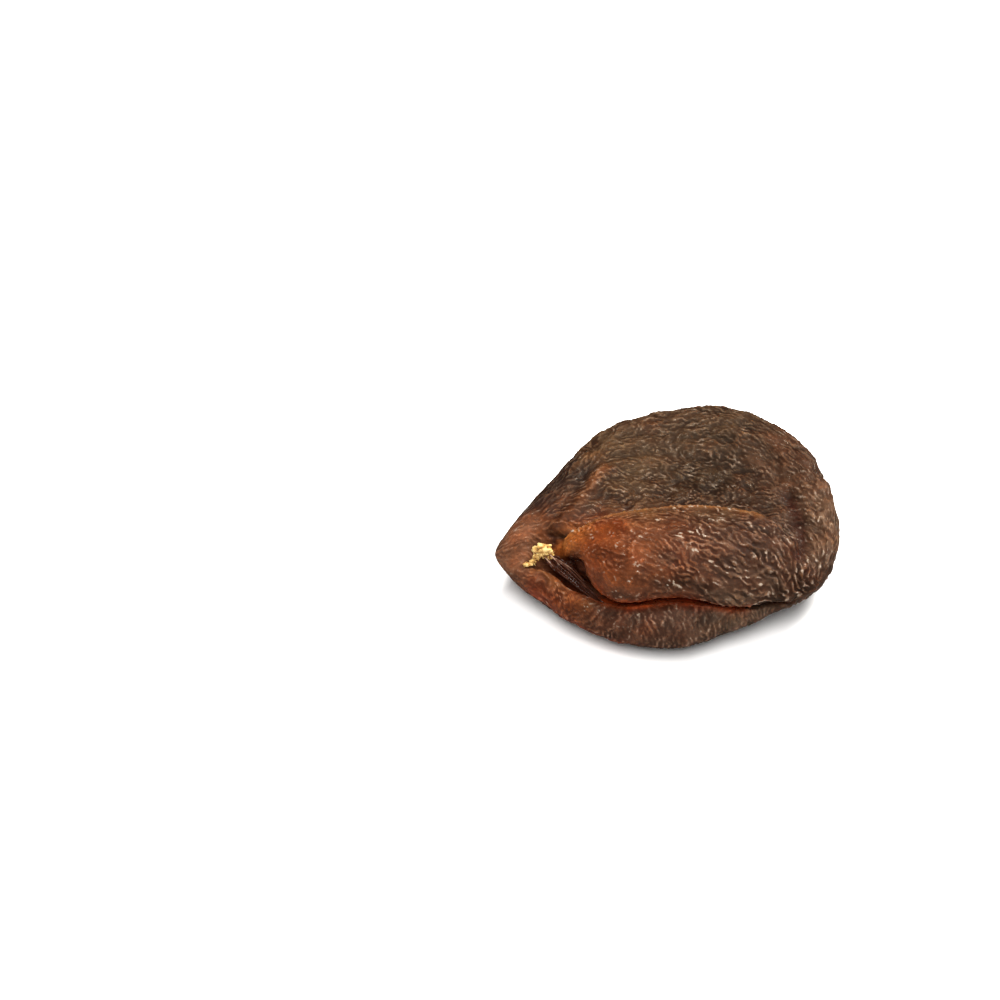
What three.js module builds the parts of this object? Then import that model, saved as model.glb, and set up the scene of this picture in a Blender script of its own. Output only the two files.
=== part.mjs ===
// A whole dried apricot, pitted at its stem end, lying on a small flat spot.
// Millimetres, +Z up, +X from the stem tip towards the blossom end, -Y on the side of the open slit.
// The origin is on the flat spot.
import * as THREE from "three";
import { LoftGeometry } from "three/addons/geometries/LoftGeometry.js";

// Driving dimensions
const stemTip = new THREE.Vector3(-21.5, -4.6, 5.8);
const blossomTip = new THREE.Vector3(17.4, -12.5, 6.8);
const tipRadius = 0.35; // the small ring that closes each end of the skin
const restingPlane = 0; // the flat spot's height
const stepsAlong = 4; // facets between two stations
const stepsAround = 2; // facets between two rails
const tuftCentre = new THREE.Vector3(-15.7, -6.95, 8.1); // in the mouth of the stem pocket
const tuftRadii = new THREE.Vector3(1.2, 0.95, 0.8);
const tuftLump = 0.14; // the lumps' height, as a share of the radius

// Upright planes across the fruit, from the stem tip to the blossom tip: the place [x, y] of each one's
// zero line, and its lean in degrees from +Y towards +X. The last ones fan round the blunt blossom end.
const stations = [
  { x: -20.2, y: 0, lean: 0 },
  { x: -17.8, y: 0, lean: 0 },
  { x: -15.4, y: 0, lean: 0 },
  { x: -13.6, y: 0, lean: 0 },
  { x: -12, y: 0, lean: 0 },
  { x: -7, y: 0, lean: 0 },
  { x: 0.5, y: 0, lean: 0 },
  { x: 8, y: 0, lean: 3 },
  { x: 11.2, y: -6, lean: 11 },
  { x: 13.4, y: -9.5, lean: 18 },
  { x: 16.4, y: -10.4, lean: 31 },
  { x: 16.8, y: -12.1, lean: 46 },
];

// The skin is stretched over rails that run from tip to tip, given as [across, up] in each station's
// plane. They go round the fruit from the keel, up the back, over the top and down the slit side.
const rails = {
  keel: [
    [-4.4, 4.1], [-4, 2.3], [-3.3, 1.4], [-3, 0.9], [-2.6, 0.5], [-1.6, -0.2],
    [-1, -0.5], [-1, -0.4], [4, 0.3], [3.5, 1.3], [2.3, 2.9], [1, 5.4],
  ],
  bottomBack: [
    [-3.4, 4.2], [-1.5, 2.8], [0.2, 1.8], [1.6, 1.3], [3, 0.9], [5.7, 0.2],
    [7.4, -0.2], [7.4, 0], [12, 0.9], [10, 2], [5, 3.1], [2, 5.6],
  ],
  backUnder: [
    [-2.4, 4.8], [0.9, 4.2], [3.2, 3.9], [5.4, 3.7], [7.3, 3.5], [12.2, 3.2],
    [14.8, 3.1], [15, 3.3], [19, 3.9], [16.6, 4.6], [8, 4.8], [3, 6.2],
  ],
  backRim: [
    [-1.9, 6], [2.1, 6.3], [4.9, 7], [7.7, 7.3], [10, 7.4], [15.5, 7.8],
    [18.5, 8.4], [19, 8.6], [22.4, 8.8], [19.4, 8.6], [9.4, 7.4], [3.6, 7.2],
  ],
  backTop: [
    [-2.5, 7.1], [1, 8.2], [3.8, 9.2], [6.3, 9.8], [8.4, 10.3], [13.8, 11.5],
    [16.5, 12.2], [17.3, 12.2], [19.9, 11.6], [18.2, 10.9], [8.6, 9.1], [3.3, 7.9],
  ],
  lobeFar: [
    [-3.1, 7.6], [-0.4, 9.1], [1.8, 10], [3.9, 10.6], [5.6, 11.2], [9.6, 12],
    [12.2, 12.2], [12.8, 12.3], [15.8, 11.9], [15, 11.4], [7.3, 9.8], [2.8, 8.3],
  ],
  lobeMid: [
    [-3.6, 7.8], [-1.6, 9.5], [0, 10.3], [1.5, 10.8], [2.6, 11.3], [5.2, 11.6],
    [6.8, 10.9], [7.2, 10.8], [11, 10.7], [11.6, 10.8], [5.8, 9.7], [2.2, 8.45],
  ],
  lobeCrest: [
    [-4.1, 7.8], [-2.7, 9.5], [-1.6, 10.2], [-0.5, 10.6], [-0.2, 10.9], [1.4, 11.1],
    [1.7, 10.4], [1.9, 10.2], [7, 10.1], [8.2, 10.2], [4.4, 9.2], [1.6, 8.45],
  ],
  lobeFace: [
    [-4.5, 7.75], [-3.5, 9.3], [-2.9, 9.9], [-2.3, 10.2], [-2.8, 10.3], [-1.8, 10.6],
    [-1.2, 10.4], [-1, 10.2], [4.6, 10], [6.5, 9.8], [3, 8.8], [1.1, 8.4],
  ],
  valley: [
    [-4.8, 7.65], [-4.2, 9], [-3.9, 9.3], [-3.9, 9.8], [-4.8, 9.7], [-4.2, 10.6],
    [-2.9, 10.8], [-2.8, 10.5], [2.9, 10.2], [4.9, 9.6], [1.7, 8.7], [0.6, 8.35],
  ],
  tongueBack: [
    [-5.1, 7.5], [-4.8, 8.7], [-4.7, 8.4], [-5.2, 9.3], [-5.5, 9.9], [-5, 11.8],
    [-3.5, 12], [-3.6, 11.8], [2.1, 11.3], [3.8, 10.4], [0.6, 9], [0.2, 8.3],
  ],
  tongueShoulder: [
    [-5.4, 7.4], [-5.3, 8.4], [-5.3, 7.3], [-6.2, 8.5], [-6.5, 10.4], [-6.8, 12.9],
    [-5.8, 13.1], [-6.1, 12.9], [-0.1, 12.2], [1.8, 11.2], [-0.5, 9.3], [-0.3, 8.25],
  ],
  tongueCrest: [
    [-5.6, 7.3], [-5.7, 8.1], [-5.7, 6.3], [-6.8, 7.5], [-7.7, 10.4], [-9.4, 13.2],
    [-9.6, 13.4], [-9.8, 13], [-3.3, 12.3], [-0.9, 11.3], [-1.8, 9.2], [-0.8, 8.1],
  ],
  tongueFront: [
    [-5.8, 7.2], [-6.1, 7.8], [-6.1, 5.5], [-7.1, 6.4], [-9, 9.7], [-12.9, 12.2],
    [-13.5, 12.1], [-14, 11.2], [-7.3, 10.7], [-3.9, 9.9], [-3.4, 8.2], [-1.5, 7.6],
  ],
  tongueEdge: [
    [-6, 7.05], [-6.5, 7.5], [-6.5, 4.9], [-7.4, 5.5], [-9.8, 8.6], [-15.3, 9.9],
    [-15.3, 9.8], [-16.5, 8.6], [-9.8, 8.2], [-5.6, 7.8], [-4.5, 7.1], [-1.9, 7],
  ],
  tongueUnder: [
    [-6.2, 6.9], [-6.9, 7.2], [-6.9, 4.6], [-7.8, 4.8], [-9.5, 7.3], [-15.3, 7.1],
    [-14.9, 7.4], [-16.2, 7], [-9.9, 6.8], [-5.6, 6.6], [-4.6, 6.2], [-2, 6.5],
  ],
  creviceDeep: [
    [-6.45, 6.7], [-7.3, 6.9], [-7.3, 4.6], [-8.4, 4.4], [-8.9, 5.5], [-12, 6.1],
    [-12, 6.4], [-13, 6.2], [-7.2, 6.1], [-3.8, 6.1], [-3.8, 5.9], [-1.95, 6.25],
  ],
  creviceLow: [
    [-6.7, 6.5], [-7.8, 6.7], [-7.9, 5.1], [-9.2, 4.7], [-10.4, 4.9], [-13, 5.4],
    [-13.2, 5.8], [-14, 5.7], [-8, 5.6], [-4.3, 5.6], [-3.8, 5.6], [-1.9, 6.1],
  ],
  lipCrest: [
    [-7, 6.15], [-8.5, 6.4], [-8.9, 6.4], [-10.6, 6.3], [-12.7, 6.2], [-15.7, 6.1],
    [-15.7, 6.6], [-15.9, 5.9], [-9.6, 5.7], [-5.3, 5.6], [-4, 5.4], [-1.8, 5.95],
  ],
  lipOuter: [
    [-7.3, 5.6], [-9.3, 5.8], [-10.7, 5.9], [-12.4, 5.8], [-14.3, 5.4], [-17.2, 5.2],
    [-17.8, 5.7], [-16.6, 5], [-10, 4.9], [-5.5, 5], [-3.8, 5.1], [-1.6, 5.8],
  ],
  frontRim: [
    [-7.3, 5], [-9.8, 4.6], [-11.9, 4.2], [-13.7, 3.9], [-15, 3.7], [-17.8, 3.2],
    [-19.1, 3.4], [-16.5, 3.6], [-9.7, 3.8], [-4.9, 4.1], [-3.2, 4.7], [-1.2, 5.65],
  ],
  frontUnder: [
    [-6.6, 4.4], [-8.5, 2.9], [-10, 2.1], [-11.3, 1.6], [-12.2, 1.3], [-14.4, 0.8],
    [-15.7, 0.8], [-13.3, 1.2], [-6.8, 1.6], [-2.2, 2.5], [-1.7, 4.1], [-0.5, 5.5],
  ],
  bottomFront: [
    [-5.5, 4.15], [-6.2, 2.2], [-6.6, 1.2], [-6.9, 0.7], [-7.2, 0.5], [-7.8, -0.1],
    [-8.4, -0.3], [-7.6, -0.1], [-2.2, 0.4], [0.3, 1.6], [0.1, 3.4], [0.2, 5.4],
  ],
};

// The point [across, up] of a station's plane, in the fruit's frame.
function inPlane(station, [across, up]) {
  const lean = THREE.MathUtils.degToRad(station.lean);
  return new THREE.Vector3(station.x + across * Math.sin(lean), station.y + across * Math.cos(lean), up);
}

// A curve through a rail's points. It starts and ends past the tips, so that the skin runs smoothly
// over them.
function railCurve(rail) {
  const points = rail.map((point, i) => inPlane(stations[i], point));
  const past = (tip, near) => new THREE.Vector3(near.x, 2 * tip.y - near.y, 2 * tip.z - near.z);
  return new THREE.CatmullRomCurve3([
    past(stemTip, points[0]),
    stemTip,
    ...points,
    blossomTip,
    past(blossomTip, points.at(-1)),
  ]);
}

// The closed section where every rail has gone the same share, from 0 to 1, of its way between the tips.
function sectionAt(curves, share) {
  const along = (1 + share * (stations.length + 1)) / (stations.length + 3);
  const ring = new THREE.CatmullRomCurve3(curves.map((curve) => curve.getPoint(along)), true);
  return ring.getPoints(curves.length * stepsAround).slice(0, -1);
}

// The small ring round a tip, in the shape of the section next to it.
function tipRing(tip, section) {
  const reach = Math.max(...section.map((point) => point.distanceTo(tip)));
  return section.map((point) => tip.clone().lerp(point, tipRadius / reach));
}

function fruitGeometry() {
  const curves = Object.values(rails).map(railCurve);
  const steps = (stations.length + 1) * stepsAlong;
  const sections = [];
  for (let i = 1; i < steps; i++) sections.push(sectionAt(curves, i / steps));
  for (const section of sections) {
    for (const point of section) point.z = Math.max(point.z, restingPlane);
  }
  sections.unshift(tipRing(stemTip, sections[0]));
  sections.push(tipRing(blossomTip, sections.at(-1)));
  return new LoftGeometry(sections, { capStart: true, capEnd: true });
}

// A ball whose radius swells and shrinks with the direction, stretched to the tuft's three radii.
function tuftGeometry() {
  const geometry = new THREE.SphereGeometry(1, 24, 14);
  const place = geometry.attributes.position;
  const point = new THREE.Vector3();
  for (let i = 0; i < place.count; i++) {
    point.fromBufferAttribute(place, i);
    const lumps = Math.sin(5 * point.x + 3 * point.z) + Math.sin(6 * point.y - 4 * point.x + 1);
    point.multiplyScalar(1 + (tuftLump * lumps) / 2).multiply(tuftRadii);
    place.setXYZ(i, point.x, point.y, point.z);
  }
  geometry.computeVertexNormals();
  return geometry;
}

const skin = new THREE.MeshStandardMaterial({ color: 0x6b4430, roughness: 0.5, metalness: 0 });
const straw = new THREE.MeshStandardMaterial({ color: 0xb8874f, roughness: 0.85, metalness: 0 });

const fruit = new THREE.Mesh(fruitGeometry(), skin);
fruit.name = "fruit";

const stemTuft = new THREE.Mesh(tuftGeometry(), straw);
stemTuft.name = "stem_tuft";
stemTuft.position.copy(tuftCentre);

const apricot = new THREE.Group();
apricot.add(fruit, stemTuft);

export default apricot;
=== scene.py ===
import math

import bpy
import numpy as np
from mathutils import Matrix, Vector


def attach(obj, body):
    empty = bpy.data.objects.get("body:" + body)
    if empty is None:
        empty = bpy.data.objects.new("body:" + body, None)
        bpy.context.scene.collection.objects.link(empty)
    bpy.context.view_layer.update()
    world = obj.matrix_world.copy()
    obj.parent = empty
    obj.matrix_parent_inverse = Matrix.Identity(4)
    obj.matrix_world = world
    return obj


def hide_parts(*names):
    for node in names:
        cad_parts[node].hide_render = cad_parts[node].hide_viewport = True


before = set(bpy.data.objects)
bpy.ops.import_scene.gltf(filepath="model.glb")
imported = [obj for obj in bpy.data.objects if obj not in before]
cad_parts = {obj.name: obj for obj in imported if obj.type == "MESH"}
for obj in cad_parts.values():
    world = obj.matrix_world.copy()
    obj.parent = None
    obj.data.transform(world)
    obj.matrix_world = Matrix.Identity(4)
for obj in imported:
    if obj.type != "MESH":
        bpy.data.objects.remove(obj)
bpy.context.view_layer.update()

mm = 0.001

stageSetup = {
    "elevation": 38,  # degrees above the table
    "distance": 295 * mm,
    "lens": 85,
    "sensor": 36,
    "aimAcross": -20.9 * mm,  # where the camera aims, seen from the fruit's middle
    "aimUp": 3.1 * mm,
    "middle": (0, -0.5 * mm, 7 * mm),
    "floorHalf": 4,  # half the floor's side in metres
    "floorColour": (0.86, 0.855, 0.85, 1),
    "floorMirrored": (0.12, 0.1, 0.08, 1),  # its colour where the fruit mirrors it
    "floorRoughness": 0.7,
    "floorGloss": 0.1,
    "worldSeen": 1.0,  # the surroundings' strength as the background, as light and as something mirrored
    "worldLight": 0.25,
    "worldGloss": 0.06,
}

lamps = [
    # name, place in metres, side in metres, watts, colour, whether it lights the colours or makes the
    # glints
    ("key", (0.25, 0.3, 0.66), 0.5, 18, (1, 0.98, 0.95), "light"),
    ("front", (-0.05, -0.4, 0.66), 0.5, 9, (1, 0.99, 0.98), "light"),
    ("glintTop", (0.05, 0.22, 0.85), 0.09, 1.3, (1, 0.99, 0.97), "glint"),
    ("glintMiddle", (0.0, -0.12, 0.85), 0.09, 1.3, (1, 1, 1), "glint"),
    ("glintFront", (0.24, -0.4, 0.56), 0.09, 1.2, (1, 1, 1), "glint"),
    ("glintSide", (0.62, 0.1, 0.42), 0.09, 1.4, (1, 1, 1), "glint"),
    ("glintLeft", (-0.45, 0.1, 0.66), 0.09, 0.8, (1, 1, 1), "glint"),
    ("glintCorner", (0.5, 0.4, 0.5), 0.09, 1.4, (1, 1, 1), "glint"),
]


def newMaterial(name):
    # A material with no nodes yet.
    material = bpy.data.materials.new(name)
    material.use_nodes = True
    material.node_tree.nodes.clear()
    return material


def makeCamera(setup):
    # A camera that looks along +Y and down by the elevation, and aims past the fruit's middle by two
    # offsets.
    up = math.radians(setup["elevation"])
    back = Vector((0, -math.cos(up), math.sin(up)))
    upright = Vector((0, math.sin(up), math.cos(up)))
    aim = Vector(setup["middle"]) + Vector((1, 0, 0)) * setup["aimAcross"] + upright * setup["aimUp"]
    camera = bpy.data.objects.new("camera", bpy.data.cameras.new("camera"))
    bpy.context.scene.collection.objects.link(camera)
    camera.data.lens = setup["lens"]
    camera.data.sensor_width = setup["sensor"]
    camera.data.clip_start = 0.01
    camera.location = aim + back * setup["distance"]
    camera.rotation_mode = "QUATERNION"
    camera.rotation_quaternion = (-back).to_track_quat("-Z", "Y")
    bpy.context.scene.camera = camera


def makeLamps(setup):
    # Square lamps that all face the fruit's middle.
    for name, place, side, watts, colour, use in lamps:
        lamp = bpy.data.objects.new(name + "_lamp", bpy.data.lights.new(name + "_lamp", "AREA"))
        bpy.context.scene.collection.objects.link(lamp)
        lamp.data.size = side
        lamp.data.energy = watts
        lamp.data.color = colour
        lamp.visible_glossy = use == "glint"
        lamp.visible_diffuse = use == "light"
        lamp.location = place
        lamp.rotation_mode = "QUATERNION"
        lamp.rotation_quaternion = (Vector(setup["middle"]) - Vector(place)).to_track_quat("-Z", "Y")


def makeSurroundings(setup):
    # White surroundings with one strength as the background, one in mirrors and one as light.
    world = bpy.data.worlds.new("studio")
    bpy.context.scene.world = world
    world.use_nodes = True
    nodes, links = world.node_tree.nodes, world.node_tree.links
    path = nodes.new("ShaderNodeLightPath")
    dull = nodes.new("ShaderNodeMapRange")
    dull.inputs["To Min"].default_value = setup["worldLight"]
    dull.inputs["To Max"].default_value = setup["worldGloss"]
    links.new(path.outputs["Is Glossy Ray"], dull.inputs["Value"])
    strength = nodes.new("ShaderNodeMapRange")
    links.new(dull.outputs["Result"], strength.inputs["To Min"])
    strength.inputs["To Max"].default_value = setup["worldSeen"]
    links.new(path.outputs["Is Camera Ray"], strength.inputs["Value"])
    nodes["Background"].inputs["Color"].default_value = (1, 1, 1, 1)
    links.new(strength.outputs["Result"], nodes["Background"].inputs["Strength"])


def makeFloor(setup):
    # One wide square at height 0.
    floorMesh = bpy.data.meshes.new("table")
    half = setup["floorHalf"]
    corners = [(-half, -half, 0), (half, -half, 0), (half, half, 0), (-half, half, 0)]
    floorMesh.from_pydata(corners, [], [(0, 1, 2, 3)])
    floor = bpy.data.objects.new("table", floorMesh)
    bpy.context.scene.collection.objects.link(floor)
    paper = newMaterial("white_table")
    nodes, links = paper.node_tree.nodes, paper.node_tree.links
    shader = nodes.new("ShaderNodeBsdfPrincipled")
    mirrored = nodes.new("ShaderNodeMix")
    mirrored.data_type = "RGBA"
    mirrored.inputs["A"].default_value = setup["floorColour"]
    mirrored.inputs["B"].default_value = setup["floorMirrored"]
    links.new(nodes.new("ShaderNodeLightPath").outputs["Is Glossy Ray"], mirrored.inputs["Factor"])
    links.new(mirrored.outputs["Result"], shader.inputs["Base Color"])
    shader.inputs["Roughness"].default_value = setup["floorRoughness"]
    shader.inputs["Specular IOR Level"].default_value = setup["floorGloss"]
    output = nodes.new("ShaderNodeOutputMaterial")
    links.new(shader.outputs["BSDF"], output.inputs["Surface"])
    floorMesh.materials.append(paper)


makeCamera(stageSetup)
makeLamps(stageSetup)
makeSurroundings(stageSetup)
makeFloor(stageSetup)
bpy.context.scene.view_settings.view_transform = "Standard"
print("stage made")

# the fruit's two ends in millimetres
stemTip = (-21.5, -4.6, 5.8)
blossomTip = (17.4, -12.5, 6.8)

# upright planes across the fruit: the place of the zero line, and the lean in degrees from +Y towards +X
stations = [
    (-20.2, 0, 0),
    (-17.8, 0, 0),
    (-15.4, 0, 0),
    (-13.6, 0, 0),
    (-12, 0, 0),
    (-7, 0, 0),
    (0.5, 0, 0),
    (8, 0, 3),
    (11.2, -6, 11),
    (13.4, -9.5, 18),
    (16.4, -10.4, 31),
    (16.8, -12.1, 46),
]

# rails from tip to tip round the fruit, as (across, up) in each station's plane, in millimetres
rails = {
    "keel": [
        (-4.4, 4.1), (-4, 2.3), (-3.3, 1.4), (-3, 0.9), (-2.6, 0.5), (-1.6, -0.2),
        (-1, -0.5), (-1, -0.4), (4, 0.3), (3.5, 1.3), (2.3, 2.9), (1, 5.4),
    ],
    "bottomBack": [
        (-3.4, 4.2), (-1.5, 2.8), (0.2, 1.8), (1.6, 1.3), (3, 0.9), (5.7, 0.2),
        (7.4, -0.2), (7.4, 0), (12, 0.9), (10, 2), (5, 3.1), (2, 5.6),
    ],
    "backUnder": [
        (-2.4, 4.8), (0.9, 4.2), (3.2, 3.9), (5.4, 3.7), (7.3, 3.5), (12.2, 3.2),
        (14.8, 3.1), (15, 3.3), (19, 3.9), (16.6, 4.6), (8, 4.8), (3, 6.2),
    ],
    "backRim": [
        (-1.9, 6), (2.1, 6.3), (4.9, 7), (7.7, 7.3), (10, 7.4), (15.5, 7.8),
        (18.5, 8.4), (19, 8.6), (22.4, 8.8), (19.4, 8.6), (9.4, 7.4), (3.6, 7.2),
    ],
    "backTop": [
        (-2.5, 7.1), (1, 8.2), (3.8, 9.2), (6.3, 9.8), (8.4, 10.3), (13.8, 11.5),
        (16.5, 12.2), (17.3, 12.2), (19.9, 11.6), (18.2, 10.9), (8.6, 9.1), (3.3, 7.9),
    ],
    "lobeFar": [
        (-3.1, 7.6), (-0.4, 9.1), (1.8, 10), (3.9, 10.6), (5.6, 11.2), (9.6, 12),
        (12.2, 12.2), (12.8, 12.3), (15.8, 11.9), (15, 11.4), (7.3, 9.8), (2.8, 8.3),
    ],
    "lobeMid": [
        (-3.6, 7.8), (-1.6, 9.5), (0, 10.3), (1.5, 10.8), (2.6, 11.3), (5.2, 11.6),
        (6.8, 10.9), (7.2, 10.8), (11, 10.7), (11.6, 10.8), (5.8, 9.7), (2.2, 8.45),
    ],
    "lobeCrest": [
        (-4.1, 7.8), (-2.7, 9.5), (-1.6, 10.2), (-0.5, 10.6), (-0.2, 10.9), (1.4, 11.1),
        (1.7, 10.4), (1.9, 10.2), (7, 10.1), (8.2, 10.2), (4.4, 9.2), (1.6, 8.45),
    ],
    "lobeFace": [
        (-4.5, 7.75), (-3.5, 9.3), (-2.9, 9.9), (-2.3, 10.2), (-2.8, 10.3), (-1.8, 10.6),
        (-1.2, 10.4), (-1, 10.2), (4.6, 10), (6.5, 9.8), (3, 8.8), (1.1, 8.4),
    ],
    "valley": [
        (-4.8, 7.65), (-4.2, 9), (-3.9, 9.3), (-3.9, 9.8), (-4.8, 9.7), (-4.2, 10.6),
        (-2.9, 10.8), (-2.8, 10.5), (2.9, 10.2), (4.9, 9.6), (1.7, 8.7), (0.6, 8.35),
    ],
    "tongueBack": [
        (-5.1, 7.5), (-4.8, 8.7), (-4.7, 8.4), (-5.2, 9.3), (-5.5, 9.9), (-5, 11.8),
        (-3.5, 12), (-3.6, 11.8), (2.1, 11.3), (3.8, 10.4), (0.6, 9), (0.2, 8.3),
    ],
    "tongueShoulder": [
        (-5.4, 7.4), (-5.3, 8.4), (-5.3, 7.3), (-6.2, 8.5), (-6.5, 10.4), (-6.8, 12.9),
        (-5.8, 13.1), (-6.1, 12.9), (-0.1, 12.2), (1.8, 11.2), (-0.5, 9.3), (-0.3, 8.25),
    ],
    "tongueCrest": [
        (-5.6, 7.3), (-5.7, 8.1), (-5.7, 6.3), (-6.8, 7.5), (-7.7, 10.4), (-9.4, 13.2),
        (-9.6, 13.4), (-9.8, 13), (-3.3, 12.3), (-0.9, 11.3), (-1.8, 9.2), (-0.8, 8.1),
    ],
    "tongueFront": [
        (-5.8, 7.2), (-6.1, 7.8), (-6.1, 5.5), (-7.1, 6.4), (-9, 9.7), (-12.9, 12.2),
        (-13.5, 12.1), (-14, 11.2), (-7.3, 10.7), (-3.9, 9.9), (-3.4, 8.2), (-1.5, 7.6),
    ],
    "tongueEdge": [
        (-6, 7.05), (-6.5, 7.5), (-6.5, 4.9), (-7.4, 5.5), (-9.8, 8.6), (-15.3, 9.9),
        (-15.3, 9.8), (-16.5, 8.6), (-9.8, 8.2), (-5.6, 7.8), (-4.5, 7.1), (-1.9, 7),
    ],
    "tongueUnder": [
        (-6.2, 6.9), (-6.9, 7.2), (-6.9, 4.6), (-7.8, 4.8), (-9.5, 7.3), (-15.3, 7.1),
        (-14.9, 7.4), (-16.2, 7), (-9.9, 6.8), (-5.6, 6.6), (-4.6, 6.2), (-2, 6.5),
    ],
    "creviceDeep": [
        (-6.45, 6.7), (-7.3, 6.9), (-7.3, 4.6), (-8.4, 4.4), (-8.9, 5.5), (-12, 6.1),
        (-12, 6.4), (-13, 6.2), (-7.2, 6.1), (-3.8, 6.1), (-3.8, 5.9), (-1.95, 6.25),
    ],
    "creviceLow": [
        (-6.7, 6.5), (-7.8, 6.7), (-7.9, 5.1), (-9.2, 4.7), (-10.4, 4.9), (-13, 5.4),
        (-13.2, 5.8), (-14, 5.7), (-8, 5.6), (-4.3, 5.6), (-3.8, 5.6), (-1.9, 6.1),
    ],
    "lipCrest": [
        (-7, 6.15), (-8.5, 6.4), (-8.9, 6.4), (-10.6, 6.3), (-12.7, 6.2), (-15.7, 6.1),
        (-15.7, 6.6), (-15.9, 5.9), (-9.6, 5.7), (-5.3, 5.6), (-4, 5.4), (-1.8, 5.95),
    ],
    "lipOuter": [
        (-7.3, 5.6), (-9.3, 5.8), (-10.7, 5.9), (-12.4, 5.8), (-14.3, 5.4), (-17.2, 5.2),
        (-17.8, 5.7), (-16.6, 5), (-10, 4.9), (-5.5, 5), (-3.8, 5.1), (-1.6, 5.8),
    ],
    "frontRim": [
        (-7.3, 5), (-9.8, 4.6), (-11.9, 4.2), (-13.7, 3.9), (-15, 3.7), (-17.8, 3.2),
        (-19.1, 3.4), (-16.5, 3.6), (-9.7, 3.8), (-4.9, 4.1), (-3.2, 4.7), (-1.2, 5.65),
    ],
    "frontUnder": [
        (-6.6, 4.4), (-8.5, 2.9), (-10, 2.1), (-11.3, 1.6), (-12.2, 1.3), (-14.4, 0.8),
        (-15.7, 0.8), (-13.3, 1.2), (-6.8, 1.6), (-2.2, 2.5), (-1.7, 4.1), (-0.5, 5.5),
    ],
    "bottomFront": [
        (-5.5, 4.15), (-6.2, 2.2), (-6.6, 1.2), (-6.9, 0.7), (-7.2, 0.5), (-7.8, -0.1),
        (-8.4, -0.3), (-7.6, -0.1), (-2.2, 0.4), (0.3, 1.6), (0.1, 3.4), (0.2, 5.4),
    ],
}
railOrder = list(rails)

fruitGrid = {
    "around": 446,
    "along": 222,
    "roughAround": 700,  # the grid that is measured first, to space the final one evenly
    "roughAlong": 500,
    "measured": slice(100, 400),  # the rows of it that the spacing round the fruit is taken from
    "tipGap": 0.04,  # how near to the tips the grid goes, in station places
    "topRails": (2.5, 20.5, 0.5),  # the rail places of the finely divided top, and how softly it ends
    "underShare": 0.5,  # the share of the facets' density kept on the underside
    "settle": 0.12,  # how softly the underside meets the table, in millimetres
}

# Where the parts of the skin lie. Station places count the stations from 2, because the stem tip is 1, and
# rail places count the rails from 0. Three numbers are a band: from, to and softness. Two numbers are a
# gradual change: from and to.
partPlaces = {
    "lobeRails": (3.0, 9.2, 0.5),
    "slopeStations": (5.2, 7),
    "bowlMiddle": (6, 3),  # the hollow in the lobe, in millimetres
    "bowlReach": (9, 6),
    "tongueRails": (9.7, 15.2, 0.3),
    "smoothRails": (10, 12),
    "smoothX": (-9, 5),  # the tongue's smooth left end turns wrinkled between these X, in millimetres
    "smoothSlant": 0.35,  # and X moves by this share of the distance in Y from the next value
    "smoothY": -10,
    "lipRails": (17.8, 21.6, 0.4),
    "lipStations": (3.3, 4.5),
    "lipLeftStations": (5.6, 7),
    "creviceRails": (15.1, 17.6, 0.25),
    "pocketRails": (9.6, 17.4, 0.5),
    "pocketStations": (3.7, 5.5, 0.3),
    "tipRails": (2, 22, 1),
    "tipStations": (3.0, 4.1),
}

# wrinkles, for each part of the skin: height and wavelength in millimetres, their turn from the rails in
# degrees and how much it wanders, the height of the broad folds in millimetres, how strongly crests and
# valleys differ in colour as painted highlight and painted shade, and how many crests carry pale strokes
# of sugar bloom and painted glint
wrinkles = {
    #                       height wave  turn wander folds contrast bloomGlint
    "under":    (0.11, 1.00,   0, 30, 0.18, 0.5, 0.3),
    "lobe":     (0.14, 0.72,   0, 34, 0.30, 0.65, 0.3),
    "bowl":     (0.14, 0.68,  14, 60, 0.38, 0.6, 0.45),
    "slope":    (0.08, 0.64,   4, 14, 0.14, 0.5, 0.5),
    "tongue":   (0.17, 0.86, -30, 22, 0.16, 0.9, 1.3),
    "smooth":   (0.07, 0.66, -20, 45, 0.10, 0.35, 0.9),
    "crevice":  (0.02, 0.90,   0, 20, 0.00, 0.2, 0.0),
    "lip":      (0.10, 0.62,  86, 14, 0.12, 0.6, 0.6),
    "lipLeft":  (0.10, 0.66,  20, 45, 0.12, 0.6, 0.9),
    "tipPlate": (0.05, 0.60,   0, 12, 0.06, 0.36, 0.4),
}

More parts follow.
